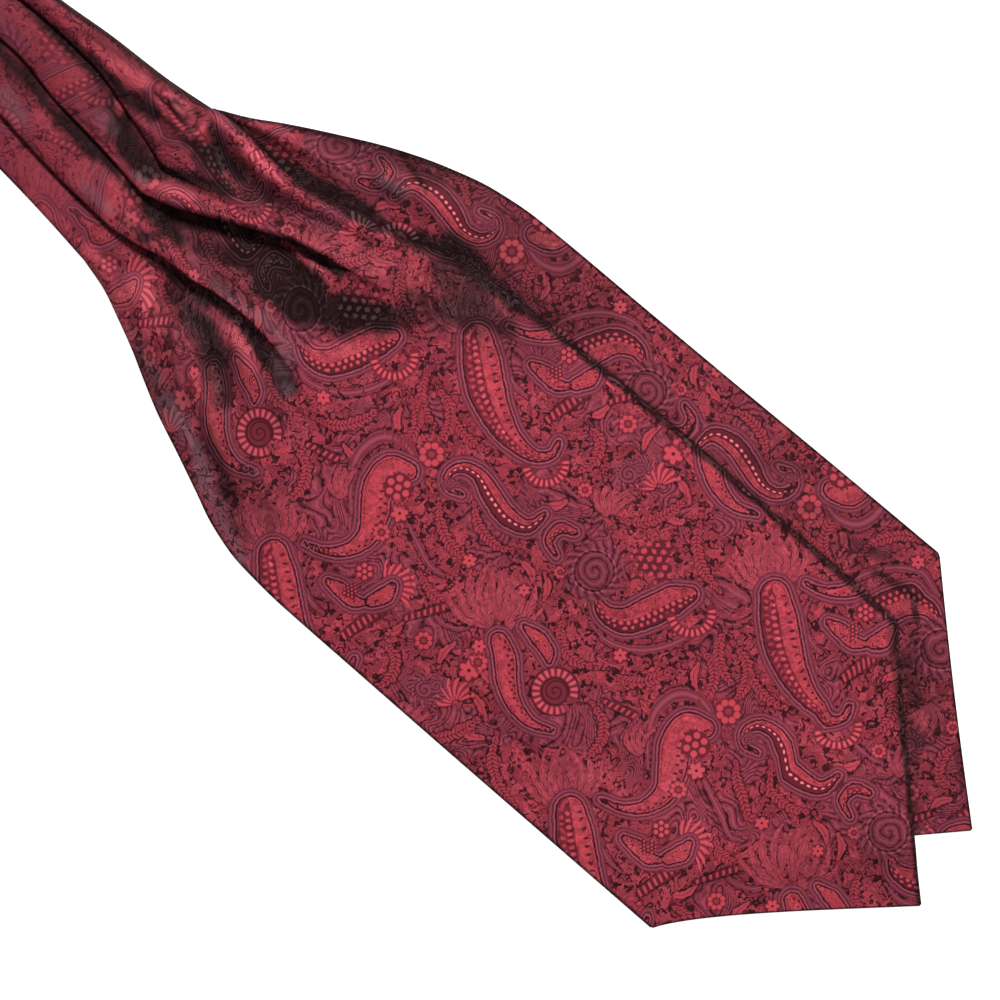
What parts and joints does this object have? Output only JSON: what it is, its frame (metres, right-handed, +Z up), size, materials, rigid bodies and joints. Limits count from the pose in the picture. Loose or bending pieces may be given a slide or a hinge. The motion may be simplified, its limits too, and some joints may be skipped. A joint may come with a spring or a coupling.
{
  "type": "silk cravat",
  "caption": "Pointed silk paisley cravat with a knife-pleated neck, folded in half at the neck and laid flat, one wide blade on the other.",
  "frame": {"origin": "bottom centre of the folded cravat, on the surface that it lies on", "axes": "+X along the length, from the folded neck to the pointed ends; +Y across, to the side where the back blade shows; +Z up from the surface"},
  "size_m": [0.5894, 0.1824, 0.0107],
  "materials": {
    "paisley_silk": "crimson and black paisley jacquard silk, satin sheen, charcoal in the folds"
  },
  "bodies": {
    "root": {"front_blade": "paisley_silk", "front_pleat_1": "paisley_silk", "front_pleat_2": "paisley_silk", "front_pleat_3": "paisley_silk", "front_pleat_4": "paisley_silk", "back_blade": "paisley_silk", "back_neck": "paisley_silk", "neck_fold": "paisley_silk"}
  },
  "joints": []
}
